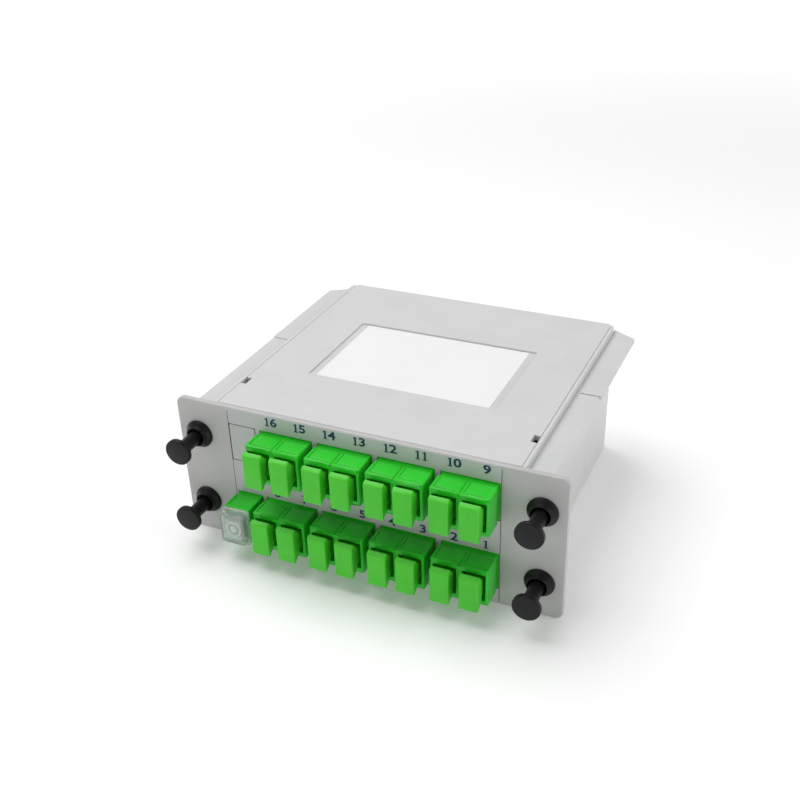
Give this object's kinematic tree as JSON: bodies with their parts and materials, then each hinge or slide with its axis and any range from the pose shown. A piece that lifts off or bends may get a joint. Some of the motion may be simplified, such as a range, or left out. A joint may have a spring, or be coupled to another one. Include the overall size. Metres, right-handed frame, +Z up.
{
  "type": "plc fibre splitter",
  "caption": "Plug-in rack cassette that splits one fibre into many, with a row-on-row front of green capped adapters, push-in plungers and a labelled cover.",
  "frame": {"origin": "centre of the four plunger sleeves, in the plane of the panel's back", "axes": "+Y from the panel into the rack, along the plungers; +X along the panel, to the right seen from the front; +Z up"},
  "size_m": [0.13, 0.1144, 0.05],
  "materials": {
    "housing_abs": "fine satin, light grey ABS",
    "sheet_grey": "printed film, light grey",
    "plate_grey": "satin, light grey",
    "label_white": "smooth white label film",
    "adapter_green": "moulded bright green",
    "cap_green": "soft moulded lighter green",
    "cap_clear": "clear, faintly green",
    "nylon_black": "semi-matte black nylon",
    "sleeve_ceramic": "polished zirconia",
    "insert_white": "plain white",
    "plug_green": "moulded green",
    "tray_abs": "satin, light grey ABS",
    "module_steel": "brushed stainless case"
  },
  "bodies": {
    "cassette": {"front_panel": "housing_abs", "housing": "housing_abs", "top_cover": "housing_abs", "panel_sheet": "sheet_grey", "blanking_plate": "plate_grey", "cover_label": "label_white", "fibre_tray": "tray_abs", "splitter_module": "module_steel", "alignment_sleeves": "sleeve_ceramic", "latch_inserts": "insert_white", "adapter_front_input": "adapter_green", "adapter_rears": "adapter_green", "inner_plug_input": "plug_green", "adapter_front_01_02": "adapter_green", "inner_plugs_01_02": "plug_green", "adapter_front_03_04": "adapter_green", "inner_plugs_03_04": "plug_green", "adapter_front_05_06": "adapter_green", "inner_plugs_05_06": "plug_green", "adapter_front_07_08": "adapter_green", "inner_plugs_07_08": "plug_green", "adapter_front_09_10": "adapter_green", "inner_plugs_09_10": "plug_green", "adapter_front_11_12": "adapter_green", "inner_plugs_11_12": "plug_green", "adapter_front_13_14": "adapter_green", "inner_plugs_13_14": "plug_green", "adapter_front_15_16": "adapter_green", "inner_plugs_15_16": "plug_green", "plunger_sleeve_upper_left": "nylon_black", "plunger_sleeve_upper_right": "nylon_black", "plunger_sleeve_lower_left": "nylon_black", "plunger_sleeve_lower_right": "nylon_black"},
    "dust_cap_01": {"dust_cap_01": "cap_green"},
    "dust_cap_02": {"dust_cap_02": "cap_green"},
    "dust_cap_03": {"dust_cap_03": "cap_green"},
    "dust_cap_04": {"dust_cap_04": "cap_green"},
    "dust_cap_05": {"dust_cap_05": "cap_green"},
    "dust_cap_06": {"dust_cap_06": "cap_green"},
    "dust_cap_07": {"dust_cap_07": "cap_green"},
    "dust_cap_08": {"dust_cap_08": "cap_green"},
    "dust_cap_09": {"dust_cap_09": "cap_green"},
    "dust_cap_10": {"dust_cap_10": "cap_green"},
    "dust_cap_11": {"dust_cap_11": "cap_green"},
    "dust_cap_12": {"dust_cap_12": "cap_green"},
    "dust_cap_13": {"dust_cap_13": "cap_green"},
    "dust_cap_14": {"dust_cap_14": "cap_green"},
    "dust_cap_15": {"dust_cap_15": "cap_green"},
    "dust_cap_16": {"dust_cap_16": "cap_green"},
    "input_cap": {"input_cap": "cap_clear"},
    "plunger_upper_left": {"plunger_upper_left": "nylon_black"},
    "plunger_upper_right": {"plunger_upper_right": "nylon_black"},
    "plunger_lower_left": {"plunger_lower_left": "nylon_black"},
    "plunger_lower_right": {"plunger_lower_right": "nylon_black"}
  },
  "joints": [
    {"name": "dust_cap_01_slide", "type": "slide", "parent": "cassette", "child": "dust_cap_01", "axis": [0, -1, 0], "range_m": [0, 0.01]},
    {"name": "dust_cap_02_slide", "type": "slide", "parent": "cassette", "child": "dust_cap_02", "axis": [0, -1, 0], "range_m": [0, 0.01]},
    {"name": "dust_cap_03_slide", "type": "slide", "parent": "cassette", "child": "dust_cap_03", "axis": [0, -1, 0], "range_m": [0, 0.01]},
    {"name": "dust_cap_04_slide", "type": "slide", "parent": "cassette", "child": "dust_cap_04", "axis": [0, -1, 0], "range_m": [0, 0.01]},
    {"name": "dust_cap_05_slide", "type": "slide", "parent": "cassette", "child": "dust_cap_05", "axis": [0, -1, 0], "range_m": [0, 0.01]},
    {"name": "dust_cap_06_slide", "type": "slide", "parent": "cassette", "child": "dust_cap_06", "axis": [0, -1, 0], "range_m": [0, 0.01]},
    {"name": "dust_cap_07_slide", "type": "slide", "parent": "cassette", "child": "dust_cap_07", "axis": [0, -1, 0], "range_m": [0, 0.01]},
    {"name": "dust_cap_08_slide", "type": "slide", "parent": "cassette", "child": "dust_cap_08", "axis": [0, -1, 0], "range_m": [0, 0.01]},
    {"name": "dust_cap_09_slide", "type": "slide", "parent": "cassette", "child": "dust_cap_09", "axis": [0, -1, 0], "range_m": [0, 0.01]},
    {"name": "dust_cap_10_slide", "type": "slide", "parent": "cassette", "child": "dust_cap_10", "axis": [0, -1, 0], "range_m": [0, 0.01]},
    {"name": "dust_cap_11_slide", "type": "slide", "parent": "cassette", "child": "dust_cap_11", "axis": [0, -1, 0], "range_m": [0, 0.01]},
    {"name": "dust_cap_12_slide", "type": "slide", "parent": "cassette", "child": "dust_cap_12", "axis": [0, -1, 0], "range_m": [0, 0.01]},
    {"name": "dust_cap_13_slide", "type": "slide", "parent": "cassette", "child": "dust_cap_13", "axis": [0, -1, 0], "range_m": [0, 0.01]},
    {"name": "dust_cap_14_slide", "type": "slide", "parent": "cassette", "child": "dust_cap_14", "axis": [0, -1, 0], "range_m": [0, 0.01]},
    {"name": "dust_cap_15_slide", "type": "slide", "parent": "cassette", "child": "dust_cap_15", "axis": [0, -1, 0], "range_m": [0, 0.01]},
    {"name": "dust_cap_16_slide", "type": "slide", "parent": "cassette", "child": "dust_cap_16", "axis": [0, -1, 0], "range_m": [0, 0.01]},
    {"name": "input_cap_slide", "type": "slide", "parent": "cassette", "child": "input_cap", "axis": [0, -1, 0], "range_m": [0, 0.012]},
    {"name": "plunger_upper_left_slide", "type": "slide", "parent": "cassette", "child": "plunger_upper_left", "axis": [0, 1, 0], "range_m": [0, 0.0077]},
    {"name": "plunger_upper_right_slide", "type": "slide", "parent": "cassette", "child": "plunger_upper_right", "axis": [0, 1, 0], "range_m": [0, 0.0077]},
    {"name": "plunger_lower_left_slide", "type": "slide", "parent": "cassette", "child": "plunger_lower_left", "axis": [0, 1, 0], "range_m": [0, 0.0077]},
    {"name": "plunger_lower_right_slide", "type": "slide", "parent": "cassette", "child": "plunger_lower_right", "axis": [0, 1, 0], "range_m": [0, 0.0077]}
  ]
}
